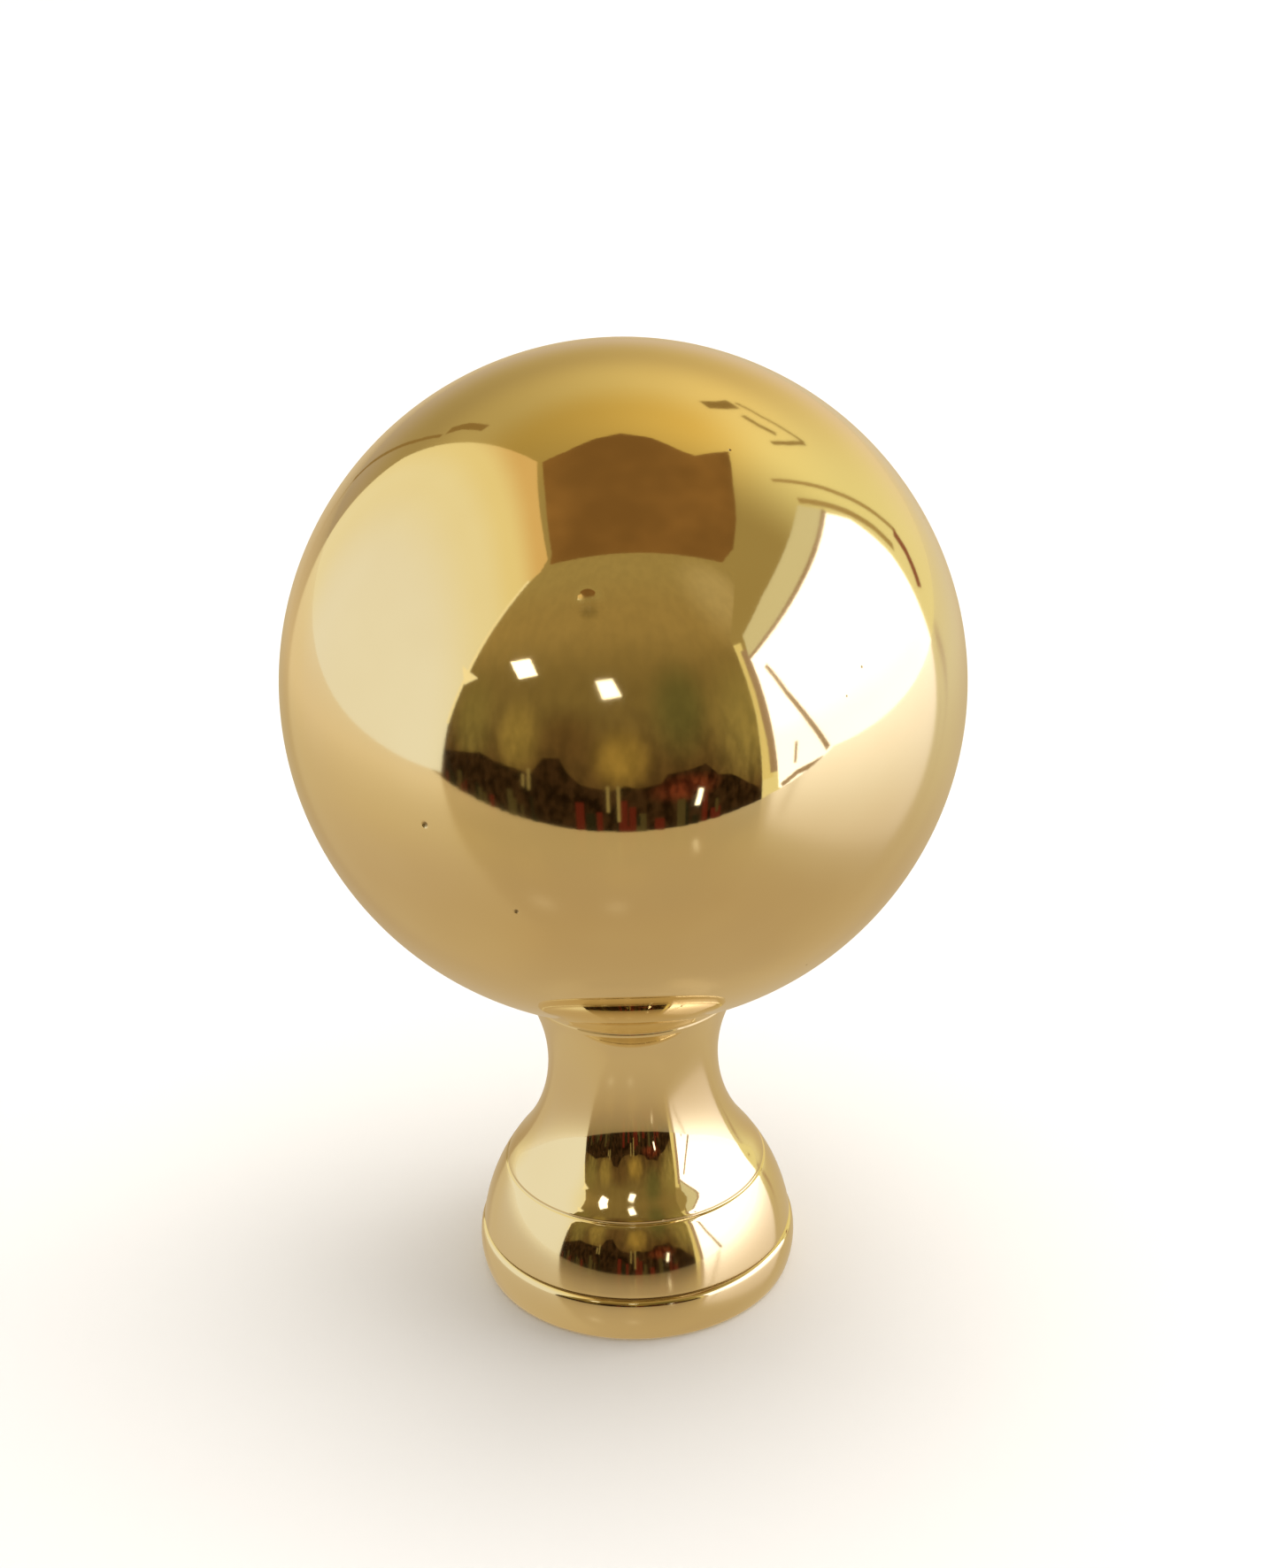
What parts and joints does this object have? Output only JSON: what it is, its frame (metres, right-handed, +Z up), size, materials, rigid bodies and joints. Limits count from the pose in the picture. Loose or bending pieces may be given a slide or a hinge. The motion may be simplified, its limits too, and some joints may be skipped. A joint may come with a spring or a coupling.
{
  "type": "ball finial",
  "caption": "Polished brass ball finial: a mirror-bright ball on a short waisted neck and a bell-shaped foot with turned lines, stands on its flat underside.",
  "frame": {"origin": "centre of the foot's flat underside, on the turning axis", "axes": "+Z up along the turning axis, from the foot to the top of the ball"},
  "size_m": [0.0508, 0.0508, 0.0762],
  "materials": {
    "polished_brass": "polished"
  },
  "bodies": {
    "root": {"ball_finial": "polished_brass"}
  },
  "joints": []
}
